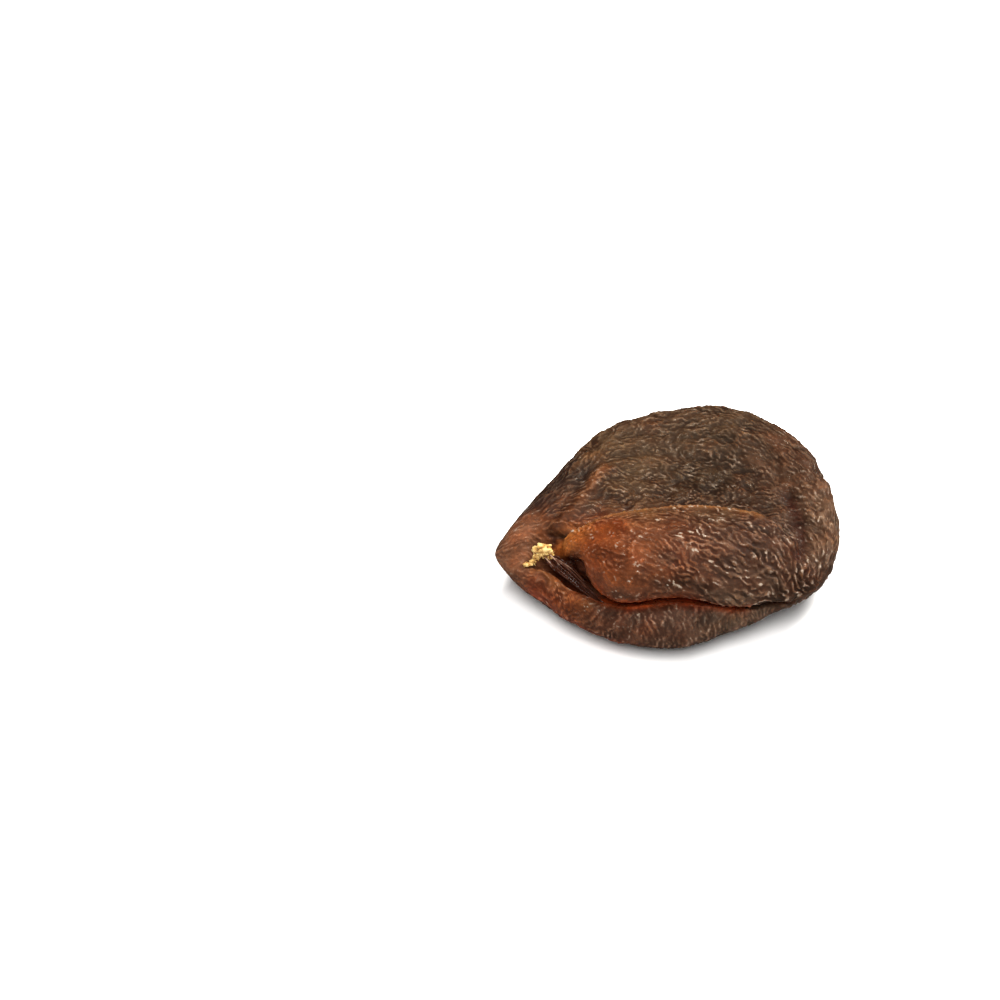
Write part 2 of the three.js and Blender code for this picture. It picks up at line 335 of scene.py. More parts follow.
# creases and crests laid over the skin: a path of (station place, rail place) pairs, how far it reaches and
# how much it lifts the skin in millimetres, its colour as seen on screen and how much of it shows
creases = {
    "tongueTip": (
        [(5.5, 11.6), (5.9, 10.9), (6.4, 10.35)], 0.4, 0.3, (204, 126, 58), 0.8),
    # tongueEdge: the tongue's own amber, brightened along the rim as painted light through the thin edge
    "tongueEdge": (
        [(6.5, 10.3), (7.1, 10.2), (8.1, 10.25), (9.0, 10.4), (9.8, 10.8)],
        0.4, 0.34, (172, 112, 60), 0.8),
    # tongueValley: painted shade, a dark line in the valley behind the tongue's top edge
    "tongueValley": (
        [(5.0, 10.3), (5.8, 9.9), (6.5, 9.4), (7.2, 9.2), (8.2, 9.3), (9.3, 9.6), (10.2, 10), (11, 10.4)],
        0.5, -0.65, (34, 24, 14), 0.9),
    "slopeCrest": (
        [(4.66, 9.05), (5.4, 8.1), (6.19, 7.28), (6.47, 6.85), (6.7, 6.2), (6.9, 6.0)],
        0.55, 0.4, (146, 84, 42), 0.65),
    # slopeValley: painted shade in the valley beside the slope's crest
    "slopeValley": (
        [(4.9, 8.2), (5.5, 7.3), (6.1, 6.5), (6.5, 5.7)], 0.6, -0.35, (58, 36, 28), 0.7),
    # lobeEnd: painted shadow in the dark gap at the left end of the lobe
    "lobeEnd": (
        [(4.5, 10.6), (4.6, 10.2), (4.4, 9.7)], 0.4, -0.35, (60, 24, 12), 0.85),
    # rightValley: the crease's own dark red, darkened further as painted shade in the hollow
    "rightValley": (
        [(10.6, 6.5), (10.95, 7.1), (11.3, 8.3), (11.6, 9.8), (11.65, 11.2)],
        0.75, -0.7, (54, 16, 8), 0.92),
    # rightRim: painted sheen, the rim lighter and greyer, with pale crests of painted glint
    "rightRim": (
        [(11.4, 4.6), (11.55, 5.8), (11.95, 6.6), (12.4, 8.0)], 0.8, 0.12, (128, 96, 74), 0.6),
    # valleyShine: painted sheen and glints, pale streaks along the valley's side
    "valleyShine": (
        [(11.0, 6.0), (11.45, 6.9), (11.85, 8.4), (12.1, 10.2)], 0.6, 0.15, (140, 108, 84), 0.4),
    # notch: painted shade in the small dent
    "notch": (
        [(11.35, 3.2), (11.3, 3.9), (11.1, 4.5)], 0.6, -0.8, (70, 40, 26), 0.7),
    # pocket and hollow: painted shade, near-black red where the hole under the tongue lies in shadow
    "pocket": (
        [(5.6, 13.9), (6.2, 14.3)], 0.62, -0.9, (66, 6, 2), 0.97),
    "hollow": (
        [(5.6, 14.6), (5.9, 15.0), (6.4, 15.2)], 0.6, -0.3, (36, 3, 1), 0.95),
    # slitRedGlow and slitFloorGlow: painted glow, bright red orange that stands in for light through the
    # thin flesh in the shaded slit
    "slitRedGlow": (
        [(6.7, 15.3), (7.1, 15.2), (7.8, 15.2), (8.6, 15.3), (9.4, 15.3)],
        0.55, 0.0, (255, 116, 54), 0.95),
    # painted glow of light through the thin flesh on the slit's floor
    "slitFloorGlow": (
        [(6.6, 17.3), (7.2, 17.3), (8.2, 17.2), (9.2, 17.1)], 0.45, 0.0, (255, 106, 48), 0.9),
    "lipInside": (
        [(3.5, 17.9), (3.86, 18.1), (4.66, 18.6), (5.5, 18.5), (6.04, 18.5), (6.4, 18.4)],
        0.42, 0.12, (172, 104, 56), 0.7),
    # lipFoot: the lip's own orange-red lower edge, brightened as painted light where the key lamp leaves it
    # in shade
    "lipFoot": (
        [(3.6, 20.2), (5.0, 20.5), (6.0, 20.5), (6.6, 20.5), (7.1, 20.5)],
        0.9, 0.0, (205, 84, 32), 0.75),
}
creaseSteps = 12  # places worked out for each point of a path
creaseShake = {"amount": 0.12, "size": 1.6, "seeds": (41, 42, 43)}  # in millimetres
# the creases that take away the wrinkles' contrast, and those that add pale strokes of bloom and painted
# glint
plainCreases = ("tongueTip", "tongueEdge", "rightValley", "slitRedGlow", "slitFloorGlow", "pocket", "hollow")
bloomGlintCreases = {"rightRim": 0.6, "valleyShine": 1.6}

skinShape = {
    # smooth noise that varies the wrinkles' table: amount, size in millimetres, seed, least and most
    "contrastVaries": (0.4, 3.5, 15, 0.35, 1.5),
    "bloomGlintVaries": (0.6, 5, 16, 0.2, 1.7),
    "heightVaries": (0.45, 4, 12, 0.35, 1.8),
    "waveVaries": (0.14, 6, 13, 0, 2),
    "turnDrift": (1.2, 5, 11),  # a share of the wander, size and seed
    "jitter": 0.5,  # the share of the wander that differs from burst to burst
    "plainShare": 0.65,  # how much of the contrast the plain creases take away
    # the waves' bursts: spread in wavelengths, bursts for each square wavelength, and seed
    "foldBursts": (0.8, 5, 3),
    "foldWave": 3.4,
    "foldTurn": 0.6,  # the folds turn by this share of the wrinkles' turn
    "foldWander": 10,
    "foldHeight": 0.5,
    "ridgeBursts": [(0.85, 6, 4), (0.85, 6, 5)],
    "ridgeScales": (1, 1.7),  # the two sets of wrinkles, in the table's wavelengths
    "ridgeTwists": (0, 14),
    "ridgeShake": (1.2, 1.1, 20),  # how far noise shakes the crests, its size, and what its seed adds
    "ridgePower": 2.2,  # how narrow the crests are
    "ridgeFlat": 0.2,  # the height where no wave stands out
    "ridgeFade": (0.1, 0.8),
    "ridgeMean": 0.35,
    "ridgeHeight": 1.3,
    "blendSize": 3,  # the two sets take turns over patches of about this size
    "blendSeed": 14,
    "blendEdge": 0.8,
    "blendShares": (0.4, 0.55),  # how much lower each set is where the other one leads
    "fineBursts": (0.9, 4, 6),
    "fineWave": 0.6,
    "fineWander": 60,
    "fineHeight": 0.2,
}


def smoothCurve(points, places, closed=False):
    # Catmull-Rom curves, all at once: between two points a cubic whose end slopes come from their
    # neighbours, with the steps counted as the square root of the distance. The array of points has the
    # shape (points, curves, 3).
    first = np.floor(places).astype(int)
    if not closed:
        first = np.minimum(first, len(points) - 3)
    t = (places - first)[:, None, None]
    p0, p1, p2, p3 = (points[(first + k) % len(points)] for k in (-1, 0, 1, 2))

    def step(a, b):
        return np.maximum(np.linalg.norm(b - a, axis=2, keepdims=True), 1e-6) ** 0.5

    d0, d1, d2 = step(p0, p1), step(p1, p2), step(p2, p3)
    m1 = ((p1 - p0) / d0 - (p2 - p0) / (d0 + d1) + (p2 - p1) / d1) * d1
    m2 = ((p2 - p1) / d1 - (p3 - p1) / (d1 + d2) + (p3 - p2) / d2) * d1
    return p1 + m1 * t + (3 * (p2 - p1) - 2 * m1 - m2) * t**2 + (2 * (p1 - p2) + m1 + m2) * t**3


def railPoints():
    # Each rail's points in the fruit's frame, with the tips and a point past each tip at its ends. The
    # point past a tip keeps the nearest point's X and mirrors its Y and Z in the tip.
    x, y, lean = np.array(stations, float).T
    lean = np.radians(lean)
    table = np.array([rails[name] for name in railOrder])  # (rails, stations, 2)
    across, up = table[..., 0], table[..., 1]
    points = np.stack([x + across * np.sin(lean), y + across * np.cos(lean), up], axis=2).transpose(1, 0, 2)
    tips = [np.broadcast_to(np.array(tip), points[0].shape) for tip in (stemTip, blossomTip)]
    past = [np.concatenate([near[:, :1], 2 * tip[:, 1:] - near[:, 1:]], axis=1)
            for tip, near in zip(tips, (points[0], points[-1]))]
    return np.concatenate([[past[0]], [tips[0]], points, [tips[1]], [past[1]]])


def skinAt(alongPlaces, aroundPlaces):
    # The skin's points, (along, around, 3): first along the rails, then round through the rails.
    sections = smoothCurve(railPoints(), alongPlaces)
    return smoothCurve(sections.transpose(1, 0, 2), aroundPlaces, closed=True).transpose(1, 0, 2)


def evenPlaces(lengths, places, count, ends):
    # Places spread so that each step carries the same share of the summed lengths.
    total = np.concatenate([[0], np.cumsum(lengths)])
    return np.interp(np.linspace(0, total[-1], count, endpoint=ends), total, places)


def smoothStep(low, high, value):
    # 0 below low, 1 above high and a smooth cubic between.
    t = np.clip((value - low) / (high - low), 0, 1)
    return t * t * (3 - 2 * t)


def band(value, low, high, soft):
    # 1 between low and high, falling to 0 within soft on both sides.
    return smoothStep(low - soft, low + soft, value) * (1 - smoothStep(high - soft, high + soft, value))


def makeGrid(grid):
    # Station and rail places with even steps over the skin, and coarser ones underneath.
    lastStation = len(stations) + 2
    roughAlong = np.linspace(1 + grid["tipGap"], lastStation - grid["tipGap"], grid["roughAlong"])
    roughAround = np.linspace(0, len(railOrder), grid["roughAround"])
    rough = skinAt(roughAlong, roughAround)
    alongSteps = np.linalg.norm(np.diff(rough, axis=0), axis=2).mean(axis=1)
    aroundSteps = np.linalg.norm(np.diff(rough, axis=1), axis=2)[grid["measured"]].mean(axis=0)
    middles = (roughAround[1:] + roughAround[:-1]) / 2
    top = band(middles, *grid["topRails"])
    aroundSteps = aroundSteps * (grid["underShare"] + (1 - grid["underShare"]) * top)
    alongPlaces = evenPlaces(alongSteps, roughAlong, grid["along"], True)
    aroundPlaces = evenPlaces(aroundSteps, roughAround, grid["around"], False)
    return alongPlaces, aroundPlaces


def surfaceFrame(points):
    # Unit tangent along the rails, unit normal pointing out, the third unit vector and the steps both ways.
    alongStep = np.gradient(points, axis=0)
    aroundStep = (np.roll(points, -1, axis=1) - np.roll(points, 1, axis=1)) / 2
    normal = np.cross(aroundStep, alongStep)
    normal /= np.maximum(np.linalg.norm(normal, axis=2, keepdims=True), 1e-9)
    alongSize = np.linalg.norm(alongStep, axis=2)
    aroundSize = np.linalg.norm(aroundStep, axis=2)
    tangent = alongStep / np.maximum(alongSize, 1e-9)[..., None]
    side = np.cross(normal, tangent)
    return tangent, normal, side, alongSize, aroundSize


def drift(points, size, seed):
    # A smooth random number at every point, near -1 to 1: plane waves of about that size, turned every
    # way, are summed and divided by the root of their number.
    dice = np.random.default_rng(seed)
    total = np.zeros(points.shape[:2])
    count = 16
    for _ in range(count):
        direction = dice.normal(size=3)
        direction *= 2 * np.pi / (np.linalg.norm(direction) * size * dice.uniform(0.7, 1.6))
        total += np.sin(points @ direction + dice.uniform(0, 2 * np.pi))
    return total / count**0.5


def varied(points, amount, size, seed, least, most):
    # 1 plus an amount of smooth noise, kept between the least and the most.
    return np.clip(1 + amount * drift(points, size, seed), least, most)


def waves(points, frameParts, turn, wander, wavelength, spread, perArea, seed):
    # Ripples with a wavelength and a direction at every point: many short bursts of a wave, each with
    # its own place, turn and phase, are added as complex numbers. A burst fades as a bell of the
    # distance and is left out beyond its reach. Returns the phase and the strength of the sum.
    tangent, _, side, alongSize, aroundSize = frameParts
    dice = np.random.default_rng(seed)
    rows, columns = alongSize.shape
    area = np.linalg.norm(np.cross(tangent, side), axis=2) * alongSize * aroundSize / wavelength**2
    count = int(area.sum() * perArea)
    chosen = dice.choice(area.size, count, p=(area / area.sum()).ravel())
    burstRow, burstColumn = np.divmod(chosen, columns)
    angle = np.radians(turn + 90)[burstRow, burstColumn]
    angle = angle + np.radians(wander)[burstRow, burstColumn] * dice.normal(size=count)
    phase = dice.random(count) * 2 * np.pi
    direction = (np.cos(angle)[:, None] * tangent[burstRow, burstColumn]
                 + np.sin(angle)[:, None] * side[burstRow, burstColumn])
    direction *= 2 * np.pi / wavelength[burstRow, burstColumn][:, None]
    width = spread * wavelength[burstRow, burstColumn]
    bell = 0.55 * width
    reach = 2.3 * width  # the bell is next to nothing there
    leastStep = 1e-3  # the grid's steps shrink to nothing at the tips
    rowReach = np.ceil(reach / np.maximum(alongSize[burstRow, burstColumn], leastStep))
    rowReach = np.minimum(rowReach, rows // 3).astype(int)
    columnReach = np.ceil(reach / np.maximum(aroundSize[burstRow, burstColumn], leastStep))
    columnReach = np.minimum(columnReach, columns // 2 - 1).astype(int)
    wrapped = np.concatenate([points, points, points], axis=1).astype(np.float32)
    real = np.zeros((rows, 3 * columns), np.float32)
    imaginary = np.zeros_like(real)
    for k in range(count):
        i, j = burstRow[k], burstColumn[k] + columns
        part = (
            slice(max(i - rowReach[k], 0), i + rowReach[k] + 1),
            slice(j - columnReach[k], j + columnReach[k] + 1),
        )
        away = wrapped[part] - wrapped[i, j]
        fall = np.exp(-(away**2).sum(axis=2) / (2 * bell[k] ** 2))
        swing = away @ direction[k].astype(np.float32) + np.float32(phase[k])
        real[part] += fall * np.cos(swing)
        imaginary[part] += fall * np.sin(swing)
    real = real.reshape(rows, 3, columns).sum(axis=1)
    imaginary = imaginary.reshape(rows, 3, columns).sum(axis=1)
    strength = np.hypot(real, imaginary)
    return np.arctan2(imaginary, real), strength / np.median(strength)


def skinParts(alongPlaces, aroundPlaces, points):
    # How much each grid point belongs to each part of the skin: products of bands and of gradual
    # changes. The underside takes what is left, and the shares are divided by their sum.
    s, r = np.meshgrid(alongPlaces, aroundPlaces, indexing="ij")
    x, y = points[..., 0], points[..., 1]
    parts = {name: np.zeros_like(s) for name in wrinkles}
    parts["lobe"] = band(r, *partPlaces["lobeRails"])
    tongue = band(r, *partPlaces["tongueRails"])
    slanted = x + partPlaces["smoothSlant"] * (y - partPlaces["smoothY"])
    left = 1 - smoothStep(*partPlaces["smoothX"], slanted)
    parts["smooth"] = tongue * left * smoothStep(*partPlaces["smoothRails"], r)
    parts["tongue"] = tongue - parts["smooth"]
    (bowlX, bowlY), (reachX, reachY) = partPlaces["bowlMiddle"], partPlaces["bowlReach"]
    parts["bowl"] = np.exp(-((x - bowlX) / reachX) ** 2 - ((y - bowlY) / reachY) ** 2) * parts["lobe"]
    parts["lobe"] = parts["lobe"] - parts["bowl"]
    parts["slope"] = (1 - smoothStep(*partPlaces["slopeStations"], s)) * parts["lobe"]
    parts["lobe"] = parts["lobe"] - parts["slope"]
    parts["lip"] = band(r, *partPlaces["lipRails"]) * smoothStep(*partPlaces["lipStations"], s)
    parts["lipLeft"] = (1 - smoothStep(*partPlaces["lipLeftStations"], s)) * parts["lip"]
    parts["lip"] = parts["lip"] - parts["lipLeft"]
    parts["crevice"] = band(r, *partPlaces["creviceRails"])
    pocket = band(s, *partPlaces["pocketStations"]) * band(r, *partPlaces["pocketRails"])
    plate = (1 - smoothStep(*partPlaces["tipStations"], s)) * band(r, *partPlaces["tipRails"])
    for share, name in ((pocket, "crevice"), (plate, "tipPlate")):
        for other in parts:
            parts[other] = parts[other] * (1 - share)
        parts[name] = parts[name] + share
    parts["under"] = np.clip(1 - sum(parts.values()), 0, 1)
    total = sum(parts.values())
    return {name: share / total for name, share in parts.items()}


def creaseShares(points):
    # For each crease, the share it has in every grid point: a bell of the distance to the nearest place
    # on its path. The grid points are shaken a little so that the creases wander.
    shares = {}
    shake = np.stack([drift(points, creaseShake["size"], seed) for seed in creaseShake["seeds"]], axis=2)
    moved = points + creaseShake["amount"] * shake
    for name, (path, reach, *_) in creases.items():
        path = np.array(path)
        steps = np.linspace(0, len(path) - 1, creaseSteps * len(path))
        along, around = (np.interp(steps, np.arange(len(path)), path[:, k]) for k in range(2))
        pick = np.arange(len(steps))
        places = skinAt(along, around)[pick, pick]
        nearest = np.full(points.shape[:2], np.inf)
        for place in places:
            nearest = np.minimum(nearest, ((moved - place) ** 2).sum(axis=2))
        shares[name] = np.exp(-nearest / (2 * reach**2))
    return shares


def wrinkleRidges(points, frameParts, turn, jitter, wave, shape):
    # Two sets of wrinkles: each crest is half the cosine of the phase plus a half, raised to a power and
    # faded where no wave stands out. The higher set wins at each point. Also returns the first set's phase,
    # as its cosine and its sine, and its fade.
    ridges = []
    swings = []
    shake, shakeSize, shakeSeed = shape["ridgeShake"]
    for bursts, scale, twist in zip(shape["ridgeBursts"], shape["ridgeScales"], shape["ridgeTwists"]):
        phase, strength = waves(points, frameParts, turn + twist, jitter, wave * scale, *bursts)
        phase = phase + shake * drift(points, shakeSize * scale, bursts[2] + shakeSeed)
        fade = smoothStep(*shape["ridgeFade"], strength)
        crest = (0.5 + 0.5 * np.cos(phase)) ** shape["ridgePower"]
        ridges.append(crest * fade + shape["ridgeFlat"] * (1 - fade))
        swings.append(np.stack([np.cos(phase), np.sin(phase), fade], axis=2))
    edge = shape["blendEdge"]
    blend = smoothStep(-edge, edge, drift(points, shape["blendSize"], shape["blendSeed"]))
    first, second = shape["blendShares"]
    ridge = np.maximum(ridges[0] * ((1 - first) + first * blend), ridges[1] * (1 - second * blend))
    return ridge, swings[0]


def evenWaves(points, frameParts, turn, wander, wavelength, bursts):
    # Waves of one wavelength all over: the cosine of the phase, lower where no wave stands out.
    wavelength = np.full(points.shape[:2], wavelength)
    phase, strength = waves(points, frameParts, turn, wander, wavelength, *bursts)
    return np.cos(phase) * np.minimum(strength, 1)


def makeSkin(shape):
    # The smooth skin, moved along its normal by the sum of the folds, the two sets of wrinkles, the fine
    # ripples and the creases, each times its height. The underside is pressed flat at the table: a point's
    # height becomes the softness times the logarithm of 1 plus e to the power of height over softness.
    alongPlaces, aroundPlaces = makeGrid(fruitGrid)
    points = skinAt(alongPlaces, aroundPlaces)
    frameParts = surfaceFrame(points)
    normal = frameParts[1]
    parts = skinParts(alongPlaces, aroundPlaces, points)
    shares = creaseShares(points)
    plain = np.clip(sum(shares[name] for name in plainCreases), 0, 1)
    height, wave, turn, wander, fold, contrast, bloomGlint = (
        sum(parts[name] * wrinkles[name][k] for name in wrinkles) for k in range(7))

    contrast = contrast * (1 - shape["plainShare"] * plain) * varied(points, *shape["contrastVaries"])
    # pale strokes of sugar bloom and painted glint on the crests, more along some creases
    bloomGlint = bloomGlint + sum(amount * shares[name] for name, amount in bloomGlintCreases.items())
    bloomGlint = bloomGlint * varied(points, *shape["bloomGlintVaries"])
    turnShare, turnSize, turnSeed = shape["turnDrift"]
    turn = turn + wander * turnShare * drift(points, turnSize, turnSeed)
    height = height * varied(points, *shape["heightVaries"])
    wave = wave * varied(points, *shape["waveVaries"])
    jitter = shape["jitter"] * wander

    foldTurn, foldWander = turn * shape["foldTurn"], jitter + shape["foldWander"]
    folds = evenWaves(points, frameParts, foldTurn, foldWander, shape["foldWave"], shape["foldBursts"])
    ridge, swing = wrinkleRidges(points, frameParts, turn, jitter, wave, shape)
    fineWander = np.full_like(turn, shape["fineWander"])
    fine = evenWaves(points, frameParts, turn, fineWander, shape["fineWave"], shape["fineBursts"])
    print("skin waves made")

    lift = shape["foldHeight"] * fold * folds
    lift = lift + shape["ridgeHeight"] * height * (ridge - shape["ridgeMean"])
    lift = lift + shape["fineHeight"] * height * fine
    lift = lift + sum(share * creases[name][2] for name, share in shares.items())
    points = points + normal * lift[..., None]
    settle = fruitGrid["settle"]
    points[..., 2] = settle * np.logaddexp(0, points[..., 2] / settle)
    values = {"ridge": [ridge], "swing": [swing], "contrast": [contrast], "bloomGlint": [bloomGlint]}
    return points, shares, folds, fine, values


def closedMesh(name, grids):
    # One mesh over several grids, each closed round its columns, with one point closing each end.
    vertices, loops, sizes = [], [], []
    base = 0
    for points in grids:
        rows, columns = points.shape[:2]
        vertices += [points.reshape(-1, 3), points[0].mean(axis=0)[None], points[-1].mean(axis=0)[None]]
        i, j = np.meshgrid(np.arange(rows - 1), np.arange(columns), indexing="ij")
        k = (j + 1) % columns
        here, nextRow = i * columns, (i + 1) * columns
        quads = np.stack([here + j, here + k, nextRow + k, nextRow + j], axis=-1)
        j, k = j[0], k[0]
        lastRow, first, last = (rows - 1) * columns, rows * columns, rows * columns + 1
        start = np.stack([np.full(columns, first), k, j], axis=1)
        finish = np.stack([np.full(columns, last), lastRow + j, lastRow + k], axis=1)
        loops += [base + part.ravel() for part in (quads, start, finish)]
        sizes += [np.full(i.size, 4), np.full(2 * columns, 3)]
        base += rows * columns + 2
    vertices = np.concatenate(vertices) * mm
    loops, sizes = np.concatenate(loops), np.concatenate(sizes)
    mesh = bpy.data.meshes.new(name)
    mesh.vertices.add(len(vertices))
    mesh.vertices.foreach_set("co", vertices.astype(np.float32).ravel())
    mesh.loops.add(len(loops))
    mesh.loops.foreach_set("vertex_index", loops.astype(np.int32))
    mesh.polygons.add(len(sizes))
    mesh.polygons.foreach_set("loop_start", np.concatenate([[0], np.cumsum(sizes)[:-1]]).astype(np.int32))
    mesh.polygons.foreach_set("loop_total", sizes.astype(np.int32))
    mesh.polygons.foreach_set("use_smooth", np.ones(len(sizes), bool))
    mesh.update(calc_edges=True)
    mesh.validate()
    return mesh


def addValues(mesh, name, grids):
    # A number or a triple for every point of each grid, with the end points given their ring's mean.
    data = []
    for values in grids:
        ends = [values[end].mean(axis=0)[None] for end in (0, -1)]
        data += [values.reshape(-1, *values.shape[2:])] + ends
    data = np.concatenate(data).astype(np.float32)
    kind, key = ("FLOAT", "value") if data.ndim == 1 else ("FLOAT_VECTOR", "vector")
    mesh.attributes.new(name, kind, "POINT").data.foreach_set(key, data.ravel())


def makePiece(name, grids, values, material, replaced):
    # A piece in the scene, riding the fruit's one body.
    mesh = closedMesh(name, grids)
    for key, data in values.items():
        addValues(mesh, key, data)
    mesh.materials.append(material)
    piece = bpy.data.objects.new(name, mesh)
    bpy.context.scene.collection.objects.link(piece)
    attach(piece, "root")
    if replaced:
        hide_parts(replaced)
    print(name, "made:", len(mesh.vertices), "points")


# tints of the skin: where each one sits in millimetres, how far it reaches, and its colour as seen on
# screen
tints = [
    ((6, 5, 11), 5.5, (26, 22, 9)),  # dark olive bowl
    ((-4.6, 6, 11.8), 4, (98, 72, 46)),
    ((6, 14, 12.2), 4, (88, 62, 40)),
    ((-2, 15, 10), 3, (96, 70, 50)),
    ((14.8, 6, 11), 3.5, (94, 60, 40)),
    # the next tint: painted sheen, the blossom end's rim lighter and greyer
    ((19.7, -3.5, 9.7), 2.5, (116, 86, 64)),  # raised rim at the blossom end
    ((16.6, -6.5, 9.2), 1.8, (82, 46, 32)),
    ((-10.3, -10.8, 10), 3.2, (156, 70, 24)),  # amber fold
    ((-12.1, -7.6, 10), 1.4, (216, 122, 52)),
    ((-5, -12.5, 12), 3.2, (140, 72, 32)),
    ((1, -12.7, 13), 3.4, (110, 60, 34)),
    ((11.6, -12.9, 11.5), 4, (90, 56, 38)),
    ((-3, -5.5, 12.5), 1.6, (128, 84, 50)),
    ((5, -5, 13), 1.6, (112, 80, 55)),
    ((0, -17.4, 5), 3, (98, 65, 50)),  # lip
    ((7.3, -17, 5), 3, (128, 102, 82)),
    ((-7, -16.5, 5), 2.5, (98, 62, 46)),
    ((-13.4, -13.8, 5.5), 2.5, (146, 80, 44)),
    # the next two tints: painted glow, the slit's red brightened to stand in for light through the thin
    # flesh in its shade
    ((-4, -14, 6.3), 1.2, (130, 42, 18)),  # red inside of the slit
    ((3, -14, 6.6), 1.2, (120, 40, 18)),
    # the next tint: painted shade of the dark hole under the tongue
    ((-12.3, -9, 5.5), 1.6, (60, 8, 3)),
    ((-13.4, 2.9, 9.5), 3, (54, 34, 28)),
    ((-12.1, 0.3, 10.9), 0.8, (128, 76, 40)),  # orange crest on the left slope
    ((-14.6, -3.0, 9.8), 0.7, (130, 70, 34)),
    ((-19, -6.2, 8), 2.2, (150, 96, 66)),
    ((-16.5, -12.2, 4), 2.2, (112, 52, 28)),
    ((-8, -15, 1.5), 4, (104, 52, 30)),
    ((8, -13, 1), 5, (92, 50, 32)),
    ((0, 0, 0), 9, (100, 54, 34)),
    ((0, 18, 5), 5, (84, 54, 38)),
    ((18, 8, 6), 4, (92, 60, 42)),
]
tintShake = {"folds": 0.8, "fine": 0.25}  # how far folds and ripples push the tints' edges, in millimetres
tintStrength = 0.31  # what the lamps ask for, so that the tints come out as they are seen on screen
# painted shade and highlight: the folds' crests lighter, their valleys darker
tintFoldShade = 0.28  # how much lighter the folds' crests are


def toLinear(colour):
    # Screen values 0 to 255 to linear light: c / 12.92 in the dark, else ((c + 0.055) / 1.055) to the power
    # of 2.4.
    share = np.array(colour, float) / 255
    return np.where(share < 0.04045, share / 12.92, ((share + 0.055) / 1.055) ** 2.4)


def skinTint(points, shares, folds, fine):
    # The tints' mean at each point, each weighted by a bell of its distance, with edges that the folds
    # disturb, and the creases' colours mixed in by their shares.
    moved = points + tintShake["folds"] * folds[..., None] + tintShake["fine"] * fine[..., None]
    colour = np.zeros(points.shape)
    total = np.zeros(points.shape[:2])
    for place, reach, screen in tints:
        weight = np.exp(-((moved - np.array(place)) ** 2).sum(axis=2) / (2 * reach**2)) / reach + 1e-7
        colour += weight[..., None] * toLinear(screen)
        total += weight
    colour = colour / total[..., None]
    for name, share in shares.items():
        mixed = (share * creases[name][4])[..., None]
        colour = colour * (1 - mixed) + toLinear(creases[name][3]) * mixed
    # painted shade: darker in the folds' valleys, lighter on their crests
    return tintStrength * colour * (1 + tintFoldShade * folds)[..., None]


class Shader:
    # Short calls for nodes: a new node with its settings, its inputs given as numbers or as links.
    def __init__(self, name):
        self.material = newMaterial(name)
        self.nodes = self.material.node_tree.nodes
        self.links = self.material.node_tree.links

    def add(self, kind, inputs=None, **settings):
        node = self.nodes.new("ShaderNode" + kind)
        for key, value in settings.items():
            setattr(node, key, value)
        for key, value in (inputs or {}).items():
            if isinstance(value, bpy.types.NodeSocket):
                self.links.new(value, node.inputs[key])
            else:
                node.inputs[key].default_value = value
        return node

    def values(self, name):
        return self.add("Attribute", attribute_name=name).outputs

    def noise(self, scale, detail=3, roughness=0.55):
        coordinates = self.add("TexCoord").outputs["Object"]
        inputs = {"Vector": coordinates, "Scale": scale, "Detail": detail, "Roughness": roughness}
        return self.add("TexNoise", inputs).outputs["Fac"]

    def math(self, operation, first, second=0.0):
        return self.add("Math", {0: first, 1: second}, operation=operation).outputs[0]

    def ramp(self, value, low, high, fromLow=0.0, fromHigh=1.0):
        inputs = {"Value": value, "From Min": fromLow, "From Max": fromHigh, "To Min": low, "To Max": high}
        return self.add("MapRange", inputs, interpolation_type="SMOOTHSTEP").outputs["Result"]

    def mix(self, factor, first, second, blend="MIX"):
        node = self.add("Mix", data_type="RGBA", blend_type=blend)
        for key, value in (("Factor_Float", factor), ("A_Color", first), ("B_Color", second)):
            socket = next(s for s in node.inputs if s.identifier == key)
            if isinstance(value, bpy.types.NodeSocket):
                self.links.new(value, socket)
            else:
                socket.default_value = value
        return next(s for s in node.outputs if s.identifier == "Result_Color")

    def bump(self, height, strength, distance, below=None):
        inputs = {"Height": height, "Strength": strength, "Distance": distance}
        if below:
            inputs["Normal"] = below
        return self.add("Bump", inputs).outputs["Normal"]

    def finish(self, inputs):
        shader = self.add("BsdfPrincipled", inputs)
        self.add("OutputMaterial", {"Surface": shader.outputs["BSDF"]})
        return self.material


# What is laid over the skin's tint: a noise's scale, detail and roughness, the noise values where the
# layer starts and ends, its share there, and the colour that the skin is multiplied by.
fleshLayers = [
    ((240, 4, 0.6), (0.5, 0.68), (0, 0.45), (1.35, 0.95, 0.62, 1)),  # warm patches
    ((330, 4, 0.55), (0.45, 0.72), (0, 0.6), (0.62, 0.5, 0.42, 1)),  # dark patches
    ((2400, 3, 0.6), (0.5, 0.68), (0, 0.6), (1.9, 1.9, 1.8, 1)),  # light specks
    ((1800, 3, 0.6), (0.3, 0.48), (0.5, 0), (0.4, 0.32, 0.28, 1)),  # pits
]
fleshColours = {
    # painted shade: the valleys darker, also redder
    "valley": (0.38, 0.27, 0.21, 1),  # the skin is multiplied by this in the wrinkles' valleys
    # painted highlight: the crests lighter and greyer
    "crest": (2.6, 2.7, 2.8, 1),  # and by this on their crests
    "crestPlain": (0.069, 0.046, 0.029, 1),  # half of the crests' colour
    # painted glints: pale strokes on the crests, partly sugar bloom
    "glint": (0.215, 0.168, 0.128, 1),  # the pale strokes on the crests
}
